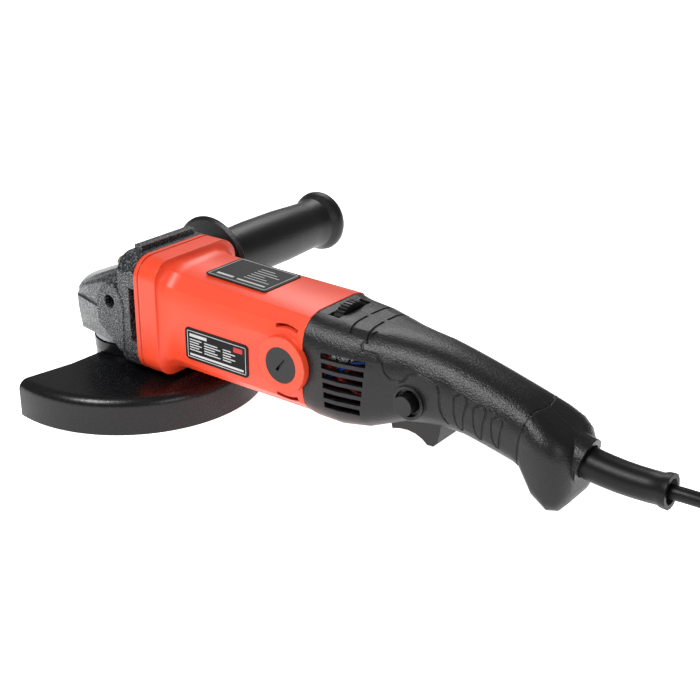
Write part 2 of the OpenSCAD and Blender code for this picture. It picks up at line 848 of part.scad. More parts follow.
module armature_windings() {
    color("chocolate")
        difference() {
            union() {
                for (i = [0:slots - 1])
                    arc_bar(core_x - 1, core_len + 2, armature_r - 7, armature_r - 1.2,
                        i * 360 / slots, i * 360 / slots + 11);
                for (x = [core_x - coil_overhang, core_x + core_len])
                    translate([x, 0, axis_z])
                        rotate([0, 90, 0])
                            rotate_extrude()
                                translate([shaft_r + 1, 0])
                                    union() {
                                        translate([0, 2])
                                            square([armature_r - shaft_r - 2.2, coil_overhang - 4]);
                                        square([armature_r - shaft_r - 4.2, coil_overhang]);
                                        translate([armature_r - shaft_r - 4.2, 2])
                                            circle(2);
                                        translate([armature_r - shaft_r - 4.2, coil_overhang - 2])
                                            circle(2);
                                    }
            }
            motor_cyl(0, housing_end_x, shaft_r - run_gap);
        }
}

module commutator() {
    color("peru")
        difference() {
            motor_cyl(comm_x, comm_w, commutator_r);
            motor_cyl(comm_x - 1, comm_w + 2, shaft_r - run_gap);
            for (i = [0:23])
                arc_bar(comm_x - 1, comm_w + 2, commutator_r - 1, commutator_r + 1,
                    i * 15, i * 15 + 2.4);
        }
}

fan_blades = 11;

module fan() {
    color("ivory")
        difference() {
            union() {
                motor_cyl(fan_x, 1.6, motor_bore_r - 1.5);
                motor_cyl(fan_x, fan_w, 8.5);
                for (i = [0:fan_blades - 1])
                    translate([fan_x + 0.8, 0, axis_z])
                        rotate([i * 360 / fan_blades, 0, 0])
                            translate([0, -0.8, 7])
                                cube([fan_w - 1.4, 1.6, motor_bore_r - 9.5]);
            }
            motor_cyl(fan_x - 1, fan_w + 2, shaft_r - run_gap);
        }
}

module bearing_x(x, w, r_out, r_in) {
    difference() {
        motor_ring(x, w, r_out, r_in);
        for (x1 = [x - 1, x + w - 0.6])
            motor_ring(x1, 1.6, r_out - 2, r_in + 2);
    }
}

module front_bearing() {
    color("lightsteelblue")
        bearing_x(front_bearing_x, front_bearing_w, front_bearing_r, shaft_r);
}

module rear_bearing() {
    color("lightsteelblue")
        bearing_x(rear_bearing_x, rear_bearing_w, rear_bearing_r, tail_shaft_r);
}

module bearing_plate() {
    color("gray")
        difference() {
            motor_cyl(flange_x + 1, joint_x - flange_x - 1, 24);
            motor_cyl(flange_x, front_bearing_x + front_bearing_w - flange_x, front_bearing_r);
            motor_cyl(flange_x, 20, 9);
            for (a = [0:60:300])
                translate([0, 0, axis_z])
                    rotate([a, 0, 0])
                        translate([flange_x, 0, 19])
                            rotate([0, 90, 0])
                                cylinder(h = 20, r = 2.6);
        }
}

module air_baffle() {
    color("dimgray")
        difference() {
            motor_cyl(fan_x + fan_w + 1.5, 3, motor_bore_r);
            motor_cyl(fan_x, 20, armature_r + 1.5);
        }
}

field_in = armature_r + air_gap;
coil_out = motor_bore_r - 3;

module field_core() {
    color("slategray")
        difference() {
            motor_ring(core_x, core_len, motor_bore_r, field_in);
            for (a = [57, 237])
                arc_bar(core_x - 1, core_len + 2, field_in - 1, coil_out, a, a + 66);
        }
}

module field_coils() {
    color("chocolate")
        for (a = [0, 180])
            difference() {
                arc_bar(core_x - coil_overhang + 1, core_len + 2 * coil_overhang - 2,
                    field_in + 0.6, coil_out, a - 86, a + 86);
                arc_bar(core_x, core_len, field_in - 1, coil_out + 1, a - 57, a + 57);
            }
}

// Motor housing, its rows built from the collar to the handle joint
collar_end = joint_x + collar_len;
barrel_x = collar_end + blend_len;
function blend(t) = 1 - sqrt(max(0, 1 - (1 - t) * (1 - t)));
function mix(a, b, t) = a + (b - a) * t;
barrel_top = axis_z + barrel_hh + 0.2;
barrel_bottom = axis_z - barrel_hh;
rear_top = barrel_top - barrel_fall;
rear_bottom = barrel_bottom + barrel_fall;
lip = 0.6;
HOUSING = concat(
    [for (t = [-0.3, 0, 0.08, 0.2, 0.35, 0.5, 0.7, 1])
        let (f = blend(max(t, 0)))
            [collar_end + blend_len * t, mix(barrel_top, flange_top - lip, f),
                mix(barrel_bottom, flange_bottom + lip, f), mix(barrel_hw, flange_hw - lip, f), mix(19, 13, f)]],
    [[housing_end_x, rear_top, rear_bottom, barrel_hw, 15]]);

module motor_housing() {
    color("firebrick")
        difference() {
            union() {
                loft(HOUSING, 0, 3);
                along_x(joint_x, collar_len)
                    translate([0, flange_mid_z])
                        round_rect(flange_hw, flange_hh, 13);
                for (s = [-1, 1])
                    y_cyl(brush_x, s > 0 ? boss_face - 7 : -boss_face, axis_z, 7, boss_r);
                motor_cyl(rear_bearing_x - 2.5, rear_bearing_w + 2.5, rear_bearing_r + 2.5);
            }
            // motor bore, then the open rear between the arms of the bearing seat
            motor_cyl(joint_x - 1, rear_bearing_x - 0.7 - joint_x, motor_bore_r);
            difference() {
                motor_ring(rear_bearing_x - 4, 20, motor_bore_r, rear_bearing_r + 2.5);
                for (a = [45:90:315])
                    translate([rear_bearing_x - 5, 0, axis_z])
                        rotate([a, 0, 0])
                            translate([0, -3, 0])
                                cube([housing_end_x - rear_bearing_x + 5, 6, 40]);
            }
            motor_cyl(rear_bearing_x, rear_bearing_w + 1, rear_bearing_r);
            motor_cyl(rear_bearing_x - 4, 10, tail_shaft_r + 3);
            // the brush boss stays inside the outline behind the joint face
            for (s = [-1, 1]) {
                y_cyl(brush_x, s > 0 ? boss_face - cap_depth : -boss_face - 1, axis_z,
                    cap_depth + 1, cap_r + fit_gap / 2);
                translate([brush_x - 4.2, s > 0 ? 20 : -boss_face, axis_z - 6.2])
                    cube([8.4, boss_face - 20, 12.4]);
            }
            // seam groove of the collar
            difference() {
                translate([joint_x + 2.8, -50, -50])
                    cube([1.1, 100, 200]);
                along_x(joint_x + 1, 5)
                    translate([0, flange_mid_z])
                        round_rect(flange_hw - 0.7, flange_hh - 0.7, 12.3);
            }
            // tapped holes of the four long screws
            for (sy = [-1, 1])
                for (sz = [-1, 1])
                    translate([0, sy * screw_y, flange_mid_z - axis_z + sz * screw_z])
                        motor_cyl(joint_x - 1, 12, 2.4);
        }
}

label_x = 75.5;
label_len = 47;
label_t = 0.5;

module side_label() {
    color("black")
        translate([label_x + label_len / 2, -barrel_hw, axis_z - 6.5])
            rotate([90, 0, 0])
                linear_extrude(label_t)
                    round_rect(label_len / 2, 9.7, 2.5);
}

module top_label() {
    slope = atan(barrel_fall / (housing_end_x - barrel_x));
    color("black")
        translate([barrel_x, 0, barrel_top])
            rotate([0, slope, 0])
                translate([label_x + 1.5 + label_len / 2 - barrel_x, 0, 0])
                    linear_extrude(label_t)
                        round_rect(label_len / 2 - 1, 16, 2.5);
}

brush_y0 = commutator_r + run_gap;

module brush_holders() {
    color("goldenrod")
        for (s = [-1, 1])
            difference() {
                translate([brush_x - 4.2, s > 0 ? commutator_r + 1.5 : -boss_face + cap_depth,
                    axis_z - 6.2])
                    cube([8.4, boss_face - cap_depth - commutator_r - 1.5, 12.4]);
                translate([brush_x - brush_w / 2, -50, axis_z - brush_h / 2])
                    cube([brush_w, 100, brush_h]);
            }
}

module carbon_brushes() {
    color("black")
        difference() {
            for (s = [-1, 1])
                translate([brush_x - brush_w / 2, s > 0 ? commutator_r - 1 : -brush_tail,
                    axis_z - brush_h / 2])
                    cube([brush_w, brush_tail - commutator_r + 1, brush_h]);
            motor_cyl(comm_x - 5, comm_w + 10, brush_y0);
        }
}

module brush_springs() {
    color("silver")
        for (s = [-1, 1])
            translate([brush_x, s * brush_tail, axis_z])
                rotate([-90 * s, 0, 0])
                    coil_spring(2.2, 0.4, boss_face - cap_depth - brush_tail, 5);
}

module brush_caps() {
    color("black")
        for (s = [-1, 1])
            difference() {
                y_cyl(brush_x, s > 0 ? boss_face - cap_depth : -boss_face, axis_z, cap_depth, cap_r);
                translate([brush_x, s > 0 ? boss_face - 1.6 : -boss_face - 1, axis_z])
                    rotate([0, 40, 0])
                        translate([-0.8, 0, -4.5])
                            cube([1.6, 2.6, 9]);
            }
}

// ---------- handle ----------

// Screw places as x, z, and how far the boss reaches from the middle
HANDLE_SCREWS = [[188, 61.5, 22], [175, 24, 24], [251, 50, 15], [258, 36, 16], [296.5, 15.5, 17]];
handle_rows_in = concat([[housing_end_x - 2, 75, 17.5, 30, 15, 15]],
    [for (i = [0:13]) HANDLE[i]]);

module handle_shell() {
    difference() {
        union() {
            difference() {
                loft(HANDLE, 0);
                loft(handle_rows_in, shell_t);
            }
            for (p = HANDLE_SCREWS)
                y_cyl(p[0], -p[2], p[1], 2 * p[2], 3.6);
            translate([boss_tube_x, 0, boss_tube_z])
                rotate([0, 90 + boss_tilt, 0])
                    cylinder(h = boss_tube_len, r = boss_tube_r);
            y_cyl(trigger_x, -18.4, trigger_z, 36.8, 4.5);
            // raised ring round the lock-on button
            y_cyl(button_x, -button_face_y - 1.2, button_z, 4.6, button_ring_r);
        }
        // seat of the cable sleeve
        translate([boss_tube_x - 10, 0, boss_tube_z + 10 * tan(boss_tilt)])
            rotate([0, 90 + boss_tilt, 0])
                cylinder(h = 40, r = sleeve_root_r + 0.3);
        // window of the trigger
        translate([trigger_x - 4.5, -trigger_hw - 0.5, 0])
            cube([41, 2 * trigger_hw + 1, 39]);
        y_cyl(trigger_x, -17.6, trigger_z, 35.2, trigger_pin_r);
        // slot of the speed dial
        translate([dial_x - 0.6, -14.5, dial_z])
            cube([dial_t + 1.2, 29, 30]);
        // room for the brush boss and the rear bearing seat
        y_cyl(brush_x, -40, axis_z, 80, boss_r + 0.2);
        motor_cyl(housing_end_x - 1, 7, rear_bearing_r + 3);
        // air slots
        for (s = [-1, 1])
            for (i = [0:vent_count - 1])
                translate([vent_x + (vent_count - 1 - i) * 0.5,
                    s > 0 ? 18 : -38,
                    vent_mid_z + (i - (vent_count - 1) / 2) * vent_pitch - vent_gap / 2])
                    cube([vent_len + 1 - (vent_count - 1 - i) * 1, 20, vent_gap]);
    }
}

module half_space(side) {
    translate([housing_end_x - 5, side > 0 ? 0 : -60, -30])
        cube([200, 60, 150]);
}

module handle_near() {
    color("black")
        difference() {
            intersection() {
                handle_shell();
                half_space(-1);
            }
            for (p = HANDLE_SCREWS)
                y_cyl(p[0], -11, p[1], 12, 1.4);
            // hole and recess of the lock-on button
            y_cyl(button_x, -40, button_z, 30, button_r + free_gap);
            y_cyl(button_x, -40, button_z, 40 - button_face_y + 1.4, button_r + 2);
        }
}

module handle_far() {
    color("black")
        difference() {
            intersection() {
                handle_shell();
                half_space(1);
            }
            for (p = HANDLE_SCREWS) {
                y_cyl(p[0], -1, p[1], 40, 1.7);
                y_cyl(p[0], p[2] - 6, p[1], 40, 3.1);
            }
        }
}

module handle_screws() {
    color("silver")
        for (p = HANDLE_SCREWS)
            translate([p[0], p[2] - 6, p[1]])
                rotate([90, 0, 0])
                    screw(2.9, 2.2, 1.4, p[2] + 4);
}

module speed_module() {
    color("darkgreen")
        difference() {
            union() {
                translate([dial_x + dial_t + 1.2, -11, dial_z - 9])
                    cube([2, 22, 16]);
                translate([dial_x + dial_t + 3.2, -9, dial_z - 7])
                    cube([8, 18, 12]);
            }
            translate([dial_x, 0, dial_z])
                rotate([0, 90, 0])
                    cylinder(h = 12, r = dial_shaft_r);
        }
}

module speed_dial() {
    color("black")
        translate([dial_x, 0, dial_z])
            rotate([0, 90, 0])
                difference() {
                    union() {
                        cylinder(h = dial_t, r = dial_r - 0.8);
                        for (a = [0:9:351])
                            rotate([0, 0, a])
                                translate([dial_r - 1.4, -0.8, 0])
                                    cube([1.4, 1.3, dial_t]);
                        cylinder(h = dial_t + 5, r = dial_shaft_r - run_gap);
                    }
                    translate([0, 0, -1])
                        cylinder(h = 2, r = dial_r - 5);
                }
}

switch_x = 211;
switch_hw = 9.5;
switch_z = 40.5;
switch_h = 18;
switch_len = 34;

module switch_body() {
    color("gray")
        union() {
            translate([switch_x, -switch_hw, switch_z])
                cube([switch_len, 2 * switch_hw, switch_h]);
            for (x = [6, 14, 22, 30])
                translate([switch_x + x - 2, -3, switch_z + switch_h - eps])
                    cube([1, 6, 4]);
            translate([switch_x + 12, -4, switch_z - 1])
                cube([5, 8, 1 + eps]);
        }
}

trigger_front = trigger_x - 3.2;

module trigger() {
    sweep = [[209, 18.7], [214, 19.3], [219, 18.7], [223.5, 16.8]];
    color("black")
        difference() {
            translate([0, trigger_hw, 0])
                rotate([90, 0, 0])
                    linear_extrude(2 * trigger_hw)
                        polygon(concat([[trigger_front, trigger_z + 3],
                            [trigger_front + 0.4, trigger_z - 7.5], [204.4, 17.4]], sweep,
                            [[226.6, 14.4], [230.5, 14.7], [232.6, 17], [233.8, 23], [234.6, 28.6],
                                [240, 29.4], [240, trigger_z + 3.5],
                            [trigger_x + 3, trigger_z + 3.5]]));
            y_cyl(trigger_x, -20, trigger_z, 40, trigger_pin_r + run_gap);
        }
}

module trigger_pin() {
    color("silver")
        y_cyl(trigger_x, -17.6, trigger_z, 35.2, trigger_pin_r);
}

spring_x = 234;

module trigger_spring() {
    color("silver")
        translate([spring_x, 0, trigger_z + 3.6])
            coil_spring(3, 0.5, switch_z - trigger_z - 3.7, 4);
}

module lock_button() {
    color("gray")
        union() {
            y_cyl(button_x, -button_face_y - button_out, button_z, button_out + 5.2, button_r);
            y_cyl(button_x, -button_face_y + 4.5, button_z, 1, button_r + 1);
            y_cyl(button_x, -button_face_y + 5, button_z, 1.6, 2);
        }
}

module lock_button_spring() {
    color("silver")
        translate([button_x, -button_face_y + 5.6, button_z])
            rotate([-90, 0, 0])
                coil_spring(3.2, 0.4, button_face_y - 5.7 - switch_hw, 4);
}

module noise_filter() {
    color("gold")
        translate([264, -8, 38])
            cube([17, 16, 14]);
}

module wires_red() {
    color("red")
        swept(smooth_route([[163, -24.2, 56], [172, -23.6, 50], [184, -22.6, 41], [196, -20, 37],
            [204, -14.5, 45], [209.2, -6, 53]], 3), 1.2, 8);
}

module wires_blue() {
    color("blue")
        swept(smooth_route([[163, -20.8, 36.4], [172, -20.4, 43], [184, -19.4, 52], [194, -16.6, 55],
            [203, -9, 54], [209.2, -1.5, 50]], 3), 1.2, 8);
}

module cable_clamp() {
    color("dimgray")
        difference() {
            translate([287, -13, 24])
                cube([8, 26, 15]);
            translate([286, 0, cord_in_z])
                rotate([0, 90 + atan(0.2), 0])
                    translate([0, 0, -5])
                        cylinder(h = 25, r = cord_d / 2 + 0.05);
            for (s = [-1, 1])
                translate([291, s * 9, 25])
                    cylinder(h = 20, r = 1.5);
        }
}

module cable_clamp_screws() {
    color("silver")
        for (s = [-1, 1])
            translate([291, s * 9, 39])
                rotate([180, 0, 0])
                    screw(2.8, 2, 1.5, 13);
}

// ---------- cord ----------

module cord_sleeve() {
    color("black")
        swept_hose(sleeve_path, sleeve_radii, sleeve_bores);
}

module cord_tube() {
    color("black")
        swept(cord_route, cord_d / 2, 12);
}

module cord_coil() {
    color("black")
        translate([coil_x, coil_y, floor_z + coil_h / 2])
            rotate_extrude()
                translate([coil_r, 0])
                    round_rect(cord_d, coil_h / 2, 3.4);
}

module cord_tail() {
    color("black")
        swept(tail_route, cord_d / 2, 12);
}

module plug_body() {
    color("black")
        translate([tail_end_x, tail_y, tail_z])
            rotate([0, -90, 0])
                rotate_extrude()
                    polygon([[0, 0], [6, 0], [8, 12], [14, 16], [plug_r, 20], [plug_r, plug_len],
                        [0, plug_len]]);
}

module plug_pins() {
    color("silver")
        for (s = [-1, 1])
            translate([tail_end_x - plug_len, tail_y + s * 9.5, tail_z])
                rotate([0, -90, 0])
                    cylinder(h = plug_pin_len, r = 2.4);
}

// ---------- side handle ----------

module grip() {
    color("black")
        translate([ear_x, 0, ear_z])
            rotate([-90, 0, 0])
                difference() {
                    rotate_extrude()
                        polygon(concat([[0, grip_y0], [11, grip_y0], [11.8, grip_y0 + 8],
                            [12.6, grip_guard_y - 3], [16, grip_guard_y - 0.8],
                            [grip_guard_r - 2, grip_guard_y + 1], [grip_guard_r, grip_guard_y + 3],
                            [grip_guard_r - 2, grip_guard_y + 5.5], [19, grip_guard_y + 8],
                            [grip_r - 1, grip_guard_y + 14], [grip_r, grip_guard_y + 40],
                            [grip_r, grip_y1 - 50], [grip_r - 1.2, grip_y1 - 22],
                            [grip_r - 0.4, grip_y1 - 14]],
                            [for (a = [-45:22.5:90])
                                [grip_end_r - 7 + 7 * cos(a), grip_y1 - 7 + 7 * sin(a)]],
                            [[0, grip_y1]]));
                    translate([0, 0, grip_y0 - 1])
                        cylinder(h = 34, r = stud_r);
                }
}

module grip_stud() {
    color("silver")
        y_cyl(ear_x, ear_face - ear_hole_depth + 2, ear_z, ear_hole_depth + 26, stud_r);
}

gear_case();
gear_case_screws();
bearing_cap();
bearing_cap_screws();
spindle_bearing();
spindle_bush();
spindle();
bevel_gear();
inner_flange();
lock_pin();
lock_spring();
guard();
guard_clamp();
clamp_screw();
pinion();
armature_shaft();
armature_core();
armature_windings();
commutator();
fan();
front_bearing();
bearing_plate();
rear_bearing();
air_baffle();
field_core();
field_coils();
motor_housing();
side_label();
top_label();
brush_holders();
carbon_brushes();
brush_springs();
brush_caps();
handle_near();
handle_far();
handle_screws();
speed_module();
speed_dial();
switch_body();
trigger();
trigger_pin();
trigger_spring();
lock_button();
lock_button_spring();
noise_filter();
wires_red();
wires_blue();
cable_clamp();
cable_clamp_screws();
cord_sleeve();
cord_tube();
cord_coil();
cord_tail();
plug_body();
plug_pins();
grip();
grip_stud();
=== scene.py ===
# %% [markdown]
# # Angle grinder, dressed for the camera
# The CAD frame comes in fixed. Every piece made here sits in the same frame,
# in metres: +X runs to the cord, +Y to the side handle, +Z up.

# %% Load the frame
import json
import math

import bpy
from mathutils import Matrix, Vector

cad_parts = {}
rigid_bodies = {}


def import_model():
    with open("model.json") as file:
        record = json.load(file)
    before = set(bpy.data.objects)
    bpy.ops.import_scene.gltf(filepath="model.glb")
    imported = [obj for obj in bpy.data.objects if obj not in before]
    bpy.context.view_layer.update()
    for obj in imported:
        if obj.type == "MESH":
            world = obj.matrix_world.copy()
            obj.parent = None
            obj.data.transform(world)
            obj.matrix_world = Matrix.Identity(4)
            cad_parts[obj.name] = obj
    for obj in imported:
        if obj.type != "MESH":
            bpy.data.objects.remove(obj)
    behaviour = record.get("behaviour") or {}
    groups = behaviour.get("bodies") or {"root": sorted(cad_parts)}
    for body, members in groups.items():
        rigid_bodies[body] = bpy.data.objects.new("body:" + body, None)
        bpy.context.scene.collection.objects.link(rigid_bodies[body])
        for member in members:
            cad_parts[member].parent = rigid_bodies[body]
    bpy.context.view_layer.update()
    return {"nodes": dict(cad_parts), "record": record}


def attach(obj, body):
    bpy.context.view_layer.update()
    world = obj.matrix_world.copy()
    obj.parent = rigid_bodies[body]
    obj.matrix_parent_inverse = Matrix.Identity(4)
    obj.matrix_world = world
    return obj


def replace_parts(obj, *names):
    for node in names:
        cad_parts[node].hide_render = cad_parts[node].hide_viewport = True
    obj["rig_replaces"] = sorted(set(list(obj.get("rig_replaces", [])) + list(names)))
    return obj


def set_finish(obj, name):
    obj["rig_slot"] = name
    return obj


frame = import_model()
nodes = frame["nodes"]
MM = 0.001
FLOOR_Z = -14 * MM

# %% [markdown]
# ## Camera
# The view looks down from the tool's near right side, so the long handle
# comes towards us. Its three directions are built from two turns and a small roll.

# %% Camera
AZIMUTH, PITCH, ROLL = math.radians(36.827), math.radians(23.567), math.radians(0.467)
back = Vector((math.sin(AZIMUTH) * math.cos(PITCH), -math.cos(AZIMUTH) * math.cos(PITCH), math.sin(PITCH)))
right = Vector((math.cos(AZIMUTH), math.sin(AZIMUTH), 0))
up = back.cross(right)
right, up = (right * math.cos(ROLL) + up * math.sin(ROLL), up * math.cos(ROLL) - right * math.sin(ROLL))
camera_data = bpy.data.cameras.new("camera")
camera_data.lens = 64.22
camera_data.sensor_width = 36
camera = bpy.data.objects.new("camera", camera_data)
camera.matrix_world = Matrix((
    (right.x, up.x, back.x, 0.5390),
    (right.y, up.y, back.y, -0.4947),
    (right.z, up.z, back.z, 0.3189),
    (0, 0, 0, 1)))
bpy.context.collection.objects.link(camera)
bpy.context.scene.camera = camera

# %% [markdown]
# ## Cord
# A mains lead of rubber: straight out of the sleeve, down to the bench, then a
# neat coil of the length that isn't in use, two turns wide and four high. Each turn
# is wound a little under a full circle, so that every step to the next turn falls
# beside the last one and not on it.

# %% Cord route
CORD_D = 7.4
COIL_R, COIL_X, COIL_Y = 41, 470, 12 + 41 + 7.4 / 2
route = [(338, 0, 27), (345, 0, 27.2), (351, 0, 27.6), (356, 0, 27.8), (363, 0.2, 28), (372, 0.9, 27.8),
         (382, 2.2, 26.2), (392, 3.8, 22.6), (402, 5.5, 17.4), (412, 7.2, 11.4), (422, 8.7, 5.6),
         (432, 10, 0.2), (442, 11, -4.6), (452, 11.6, -8), (461, 11.9, -9.8), (470, 12, -10.3)]
tail = [(462, 10.8), (453, 9.2), (444, 6.6), (437, 4.7), (431, 4)]


def eased(t):
    return t * t * (3 - 2 * t)


def coil_points(turns=8, sweep=2340, step=50, spacing=12):
    """Places along the coil: radius goes out, in, in, out while the layers rise."""
    outer, inner = COIL_R + CORD_D / 2, COIL_R - CORD_D / 2
    layer = [-10.3 + k * (CORD_D + 0.02) for k in range(4)]
    stations = [(outer, layer[0]), (inner, layer[0]), (inner, layer[1]), (outer, layer[1]),
                (outer, layer[2]), (inner, layer[2]), (inner, layer[3]), (outer, layer[3])]
    share = sweep / turns
    points = []
    for i in range(1, int(sweep / spacing) + 1):
        a = i * spacing
        k = min(int(a / share), turns - 1)
        left = a - k * share
        r, z = stations[k]
        if k < turns - 1 and left > share - step:
            t = eased((left - share + step) / step)
            r = r + (stations[k + 1][0] - r) * t
            z = z + (stations[k + 1][1] - z) * t
        angle = math.radians(a - 90)
        points.append((COIL_X + r * math.cos(angle), COIL_Y + r * math.sin(angle), z))
    return points


cord_line = route + coil_points()
far_y = COIL_Y + COIL_R + CORD_D / 2
cord_line += [(x, far_y, z) for x, z in tail]
cord_line = [Vector(p) * MM for p in cord_line]

# %% Cord piece
cord_curve = bpy.data.curves.new("mains_cord", "CURVE")
cord_curve.dimensions = "3D"
cord_curve.bevel_depth = 1.0  # scaled at each point by the cord's own radius
cord_curve.bevel_resolution = 5
cord_curve.use_fill_caps = True
spline = cord_curve.splines.new("POLY")
spline.points.add(len(cord_line) - 1)
for point, place in zip(spline.points, cord_line):
    point.co = (*place, 1)
    point.radius = CORD_D / 2 * MM
spline.use_smooth = True
mains_cord = bpy.data.objects.new("mains_cord", cord_curve)
bpy.context.collection.objects.link(mains_cord)
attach(mains_cord, "tool_body")
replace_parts(mains_cord, "cord_tube", "cord_coil", "cord_tail")
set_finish(mains_cord, "cord_rubber")

# %% [markdown]
# ## Colours and a helper for nodes
# Every material is a small tree of nodes. Colours are written as the hex values a
# painter would pick on a screen, and turned to linear light here.


# %% Colour and node helpers
def linear(hex_code):
    parts = [int(hex_code[i:i + 2], 16) / 255 for i in (0, 2, 4)]
    return [c / 12.92 if c <= 0.04045 else ((c + 0.055) / 1.055) ** 2.4 for c in parts] + [1]


def add_node(tree, kind, inputs=None, **settings):
    """One node: its settings by name, its inputs by name or number, a value or a socket."""
    node = tree.nodes.new("ShaderNode" + kind)
    for key, value in settings.items():
        setattr(node, key, value)
    for key, value in (inputs or {}).items():
        if isinstance(value, bpy.types.NodeSocket):
            tree.links.new(value, node.inputs[key])
        else:
            node.inputs[key].default_value = value
    return node


def ramp(tree, fac, stops):
    node = add_node(tree, "ValToRGB", {"Fac": fac})
    elements = node.color_ramp.elements
    while len(elements) < len(stops):
        elements.new(0.5)
    for element, (place, colour) in zip(elements, stops):
        element.position = place
        element.color = colour if isinstance(colour, (list, tuple)) else (colour, colour, colour, 1)
    return node.outputs["Color"]


def start_material(name):
    material = bpy.data.materials.new(name)
    material.use_nodes = True
    tree = material.node_tree
    tree.nodes.clear()
    shader = add_node(tree, "BsdfPrincipled")
    output = add_node(tree, "OutputMaterial", {"Surface": shader.outputs[0]})
    output.location = (400, 0)
    place = add_node(tree, "TexCoord").outputs["Object"]
    return material, tree, shader, place


# %% [markdown]
# ## The common base
# Moulded, painted and machined surfaces share three things: an edge that is
# rounded and a little paler from handling, a tone that drifts slowly over the
# piece, and a fine relief. Only colours, sizes and gloss differ.


# %% Base of the materials
def surface(name, base, pale, rough, metallic=0.0, grain_mm=0.6, relief=0.15, drift=0.08,
            edge_mm=0.5, wear=0.35, coat=0.0, stretch=(1, 1, 1), shine=0.5):
    """Base colour, the paler colour of worn edges, roughness, then sizes in millimetres."""
    material, tree, shader, place = start_material(name)
    at = add_node(tree, "Mapping", {"Vector": place, "Scale": stretch}).outputs[0]
    slow = add_node(tree, "TexNoise", {"Vector": place, "Scale": 28.0, "Detail": 3.0}).outputs["Fac"]
    scale = 1 / (grain_mm * MM)
    fine = add_node(tree, "TexNoise", {"Vector": at, "Scale": scale, "Detail": 2.0}).outputs["Fac"]
    rounded = add_node(tree, "Bevel", {"Radius": edge_mm * MM}, samples=4).outputs[0]
    flat = add_node(tree, "NewGeometry").outputs["Normal"]
    turn = add_node(tree, "VectorMath", {0: rounded, 1: flat}, operation="DOT_PRODUCT").outputs["Value"]
    rim = add_node(tree, "MapRange", {"Value": turn, "From Min": 0.995, "From Max": 0.85,
                                      "To Min": 0.0, "To Max": wear}).outputs[0]
    patchy = add_node(tree, "Math", {0: rim, 1: slow}, operation="MULTIPLY").outputs[0]
    deep = linear(base)
    light = [min(1, c * (1 + drift * 3)) for c in deep[:3]] + [1]
    dark = [c * (1 - drift * 2) for c in deep[:3]] + [1]
    tone = ramp(tree, slow, [(0.3, dark), (0.7, light)])
    mixed = add_node(tree, "Mix", {0: patchy, 6: tone, 7: linear(pale)}, data_type="RGBA")
    tree.links.new(mixed.outputs[2], shader.inputs["Base Color"])
    gloss = add_node(tree, "MapRange", {"Value": fine, "To Min": rough - 0.07, "To Max": rough + 0.07})
    tree.links.new(gloss.outputs[0], shader.inputs["Roughness"])
    shader.inputs["Metallic"].default_value = metallic
    shader.inputs["Coat Weight"].default_value = coat
    shader.inputs["Specular IOR Level"].default_value = shine
    bump = add_node(tree, "Bump", {"Height": fine, "Strength": relief, "Distance": grain_mm * 0.3 * MM,
                                   "Normal": rounded})
    tree.links.new(bump.outputs[0], shader.inputs["Normal"])
    return material


def hammered_paint():
    """Hammer-finish enamel on die-cast alloy: small dimples, with pale flecks between them painted into the colour
    as glints of light.
    """
    material, tree, shader, place = start_material("hammer_finish_enamel")
    warp = add_node(tree, "TexNoise", {"Vector": place, "Scale": 300.0, "Detail": 2.0}).outputs["Color"]
    bent = add_node(tree, "Mix", {0: 0.0018, 4: place, 5: warp}, data_type="VECTOR")
    # dimples about 1.6 mm across
    cells = add_node(tree, "TexVoronoi", {"Vector": bent.outputs[1], "Scale": 620.0}, feature="SMOOTH_F1")
    # painted glints: pale flecks in the base colour that stand for sparkle of light
    glint_fleck = add_node(tree, "TexNoise", {"Vector": place, "Scale": 1150.0, "Detail": 1.0}).outputs["Fac"]
    slow = add_node(tree, "TexNoise", {"Vector": place, "Scale": 40.0}).outputs["Fac"]
    lit = ramp(tree, glint_fleck, [(0.5, linear("08090a")), (0.62, linear("6a6d70"))])
    shade = ramp(tree, slow, [(0.3, 0.75), (0.7, 1.15)])
    tint = add_node(tree, "Mix", {0: 1.0, 6: lit, 7: shade}, data_type="RGBA", blend_type="MULTIPLY")
    tree.links.new(tint.outputs[2], shader.inputs["Base Color"])
    gloss = add_node(tree, "MapRange", {"Value": cells.outputs["Distance"], "To Min": 0.28, "To Max": 0.5})
    tree.links.new(gloss.outputs[0], shader.inputs["Roughness"])
    shader.inputs["Metallic"].default_value = 0.25
    shader.inputs["Coat Weight"].default_value = 0.15
    rounded = add_node(tree, "Bevel", {"Radius": 1.2 * MM}, samples=4).outputs[0]
    bump = add_node(tree, "Bump", {"Height": cells.outputs["Distance"], "Strength": 0.45,
                                   "Distance": 0.5 * MM, "Normal": rounded})
    tree.links.new(bump.outputs[0], shader.inputs["Normal"])
    return material


# %% [markdown]
# ## The materials
# Each is named for what the real piece is made of.

# %% Materials
# die-cast alloy under hammer-finish enamel: dark, speckled with painted glints, softly shining
gear_paint = hammered_paint()
# glass-filled nylon moulded in red: satin gloss with a faint orange peel
red_nylon = surface("red_glass_filled_nylon", "dc4224", "ea7454", 0.36, grain_mm=1.3, relief=0.12,
                    drift=0.03, edge_mm=1.2, wear=0.25, shine=0.4)
# black nylon from a spark-eroded mould: a fine sparkling grain
black_nylon = surface("spark_textured_black_nylon", "0b0b0c", "343537", 0.36, grain_mm=0.9,
                      relief=0.9, drift=0.06, edge_mm=0.6, wear=0.4, shine=0.36)
# black nylon from a polished mould: buttons, caps and the dial
smooth_nylon = surface("smooth_black_nylon", "0a0a0b", "2c2c2e", 0.32, grain_mm=1.2, relief=0.06, shine=0.35)
# powder coat on pressed steel sheet: semi-gloss with a slight orange peel
powder_coat = surface("black_powder_coat", "08080a", "3c3d40", 0.28, grain_mm=1.8, relief=0.12,
                      edge_mm=0.5, wear=0.7, shine=0.35)
